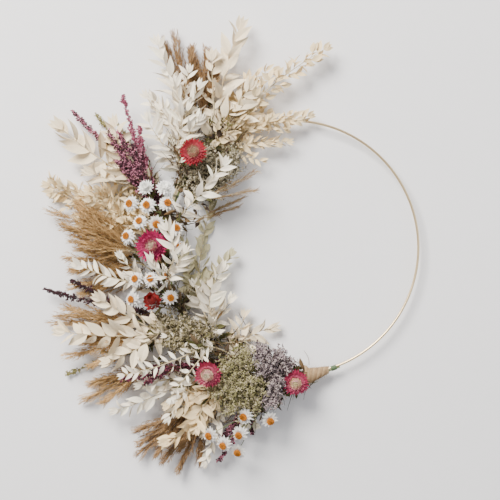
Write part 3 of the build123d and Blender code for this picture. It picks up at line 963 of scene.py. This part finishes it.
def sea_lavender(node, look, rng, shape):
    """A cloud of tiny flowers round the end of each twig, and one in front of the fork."""
    colours, spread = look[:3], look[3]
    radius = TUFT_RADII.get(node, 8)
    places = balls(node, radius)
    crotch = balls(node, KNOT)[0]
    middle = np.mean(places, 0)
    stem_tint = np.array(colours[1]) * 0.45
    stem = stem_to(triangles(node)[1], crotch, unit(middle - crotch))
    draw_stem(shape, stem, stem_tint, rng)
    undergrowth_and_shade(stem, 40, rng, shape)
    style = {"stem": stem_tint, "colours": colours, "twigs": int(46 * spread ** 1.3), "buds": 11}
    tuft_cloud(shape, stem[-6], crotch + FRONT * radius * 1.3, radius * spread, style, rng)
    for place in places:
        away = place - crotch
        twig = bezier(crotch, crotch + away * 0.3, place - away * 0.2, place, 8)
        draw_stem(shape, twig, stem_tint, rng, radius=0.45)
        tuft_cloud(shape, crotch, place, radius * spread, style, rng)


# ---------------------------------------------------------------- twine

CORD_PITCH = 1.75
PLIES = ((0.42, 0.28, 0.15), (0.50, 0.35, 0.20), (0.36, 0.24, 0.13))
JUTE_SHADOW, JUTE_FIBRE = (0.20, 0.13, 0.07), (0.52, 0.38, 0.22)

def twine_cone():
    """The middle line of the CAD's wound cone, and the cord's distance from it along the way."""
    middle = triangles("twine_wrap")[1]
    angle = np.degrees(np.arctan2(middle[:, 2], middle[:, 0])) % 360
    centres, widths = [], []
    for cut in np.linspace(angle.min() + 0.4, angle.max() - 0.4, 7):
        near = np.abs(angle - cut) < 0.45
        low, high = middle[near].min(0), middle[near].max(0)
        centres.append((low + high) / 2)
        widths.append((high[1] - low[1]) / 2 - 0.9)
    return resample(centres, 200), np.interp(np.linspace(0, 1, 200), np.linspace(0, 1, 7), widths)


def twine(rng, shape):
    """Three-ply jute wound in a cone round a solid core, with a few loose fibres."""
    spine, width = twine_cone()
    length = line_length(spine)
    axis = unit(spine[-1] - spine[0])
    side = square_to(FRONT, axis)
    other = np.cross(axis, side)
    turns = length / CORD_PITCH
    steps = int(turns * 26)
    cord = []
    for i in range(steps):
        f = i / (steps - 1)
        a = 2 * math.pi * turns * f + 0.12 * math.sin(i * 0.21)
        out = side * math.cos(a) + other * math.sin(a)
        cord.append(spine[int(f * 199)] + out * (width[int(f * 199)] + 0.15 * math.sin(i * 0.37)))
    cord = np.array(cord)
    ahead = np.gradient(cord, axis=0)
    for ply, tone in enumerate(PLIES):
        strand = []
        for i in range(steps):
            a = i * 0.55 + ply * 2.0944
            across = square_to(axis, ahead[i])
            up = np.cross(unit(ahead[i]), across)
            strand.append(cord[i] + (across * math.cos(a) + up * math.sin(a)) * 0.42)
        shape.tube(strand, [0.55, 0.55], tone, sides=4)
    solid = [spine[0] - axis * 0.2] + list(spine[10:190:20]) + [spine[-1]]
    shape.tube(solid, [width[0] * 0.93, width[100] * 0.93, width[-1] * 0.8], JUTE_SHADOW, sides=16)
    for _ in range(260):
        at = cord[rng.randrange(steps)]
        out = unit(at - spine[np.argmin(np.linalg.norm(spine - at, axis=1))])
        go = unit(out * 0.5 + jitter(rng, 0.7))
        fibre = curve(at, go, rng.uniform(1.5, 4.5), jitter(rng, 0.6), 1.2, 5)
        shape.tube(fibre, [0.07, 0.04], shade(rng, JUTE_FIBRE, 0.2), sides=3)


# ---------------------------------------------------------------- the pieces


def finish_piece(shape, node, materials):
    """The piece that stands in for a CAD node, with the given materials and on the wreath's body; the node is
    hidden.
    """
    piece = shape.make(node + "_look", materials)
    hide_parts(node)
    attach(piece, "wreath")


def grow(node, seed):
    """Grow one node's plant or twine, from its own seed."""
    rng = random.Random(seed)
    shape = Shape()
    if node in LEAVES:
        leafy(spray_of(node), LEAVES[node], rng, shape)
        materials = [LEAF, TWIG]
    elif node in BUDS:
        heather(spray_of(node), BUDS[node], rng, shape)
        materials = [TUFT, TWIG]
    elif node in REEDS:
        plume(plume_of(node), REEDS[node], rng, shape)
        materials = [STRAW, TWIG]
    elif node in STRAWFLOWERS:
        strawflower(node, STRAWFLOWERS[node], rng, shape)
        materials = [PETAL, CORE]
    elif node in CLOUDS:
        sea_lavender(node, CLOUDS[node], rng, shape)
        materials = [TUFT, TWIG]
    elif node.startswith("everlasting"):
        everlasting(node, rng, shape)
        materials = [PETAL, CORE]
    elif node == "twine_wrap":
        twine(rng, shape)
        materials = [JUTE]
    else:
        return
    finish_piece(shape, node, materials)


for seed, node in enumerate(sorted(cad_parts)):
    grow(node, seed + 3)
KEPT = {"hoop": BRASS, "hanging_loop": BRASS, "tying_wire": WIRE, "green_tape": TAPE}  # their CAD shapes
for node, finish in KEPT.items():
    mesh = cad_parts[node].data
    mesh.materials.clear()
    mesh.materials.append(finish)


# ---------------------------------------------------------------- wall, light and camera

def wall():
    """A pale plastered wall close behind the wreath, seen from its front only."""
    m = mat("wall_plaster", rough=0.95, bump=0.05, grain=60, mottle=0.015, colour=(0.90, 0.885, 0.885))
    nodes, links = m.node_tree.nodes, m.node_tree.links
    shader = nodes["Principled BSDF"]
    clear = nodes.new("ShaderNodeBsdfTransparent")
    side = nodes.new("ShaderNodeNewGeometry")
    pick = nodes.new("ShaderNodeMixShader")
    links.new(side.outputs["Backfacing"], pick.inputs[0])
    links.new(shader.outputs[0], pick.inputs[1])
    links.new(clear.outputs[0], pick.inputs[2])
    links.new(pick.outputs[0], nodes["Material Output"].inputs["Surface"])
    mesh = bpy.data.meshes.new("wall")
    y = WALL * MM
    corners = [(x, y, z) for x, z in ((-3, -3), (3, -3), (3, 3), (-3, 3))]
    mesh.from_pydata(corners, [], [(0, 1, 2, 3)])
    mesh.materials.append(m)
    plane = bpy.data.objects.new("wall", mesh)
    bpy.context.scene.collection.objects.link(plane)


def area_light(name, place, target, size, power, colour):
    """A square light, in metres and watts, aimed at a point."""
    data = bpy.data.lights.new(name, "AREA")
    data.size, data.energy, data.color = size, power, colour
    lamp = bpy.data.objects.new(name, data)
    lamp.location = place
    lamp.rotation_euler = (Vector(target) - Vector(place)).to_track_quat("-Z", "Y").to_euler()
    bpy.context.scene.collection.objects.link(lamp)


wall()
area_light("window", (-1.1, -1.9, 1.5), target=(0, 0, 0), size=1.25, power=182, colour=(1.0, 0.975, 0.94))
area_light("fill", (1.6, -2.2, 0.2), target=(0, 0, 0), size=2.2, power=22, colour=(0.95, 0.97, 1.0))
world = bpy.data.worlds.new("room")
world.use_nodes = True
world.node_tree.nodes["Background"].inputs["Color"].default_value = (0.93, 0.95, 1.0, 1)
world.node_tree.nodes["Background"].inputs["Strength"].default_value = 0.42
bpy.context.scene.world = world

CAMERA_PLACE = (-0.0492, -2.0, -0.003)  # metres
LENS = 121.7
camera_data = bpy.data.cameras.new("camera")
camera_data.sensor_width = 36
camera_data.lens = LENS
camera = bpy.data.objects.new("camera", camera_data)
camera.location = CAMERA_PLACE
camera.rotation_euler = (math.radians(90), 0, 0)
bpy.context.scene.collection.objects.link(camera)
bpy.context.scene.camera = camera
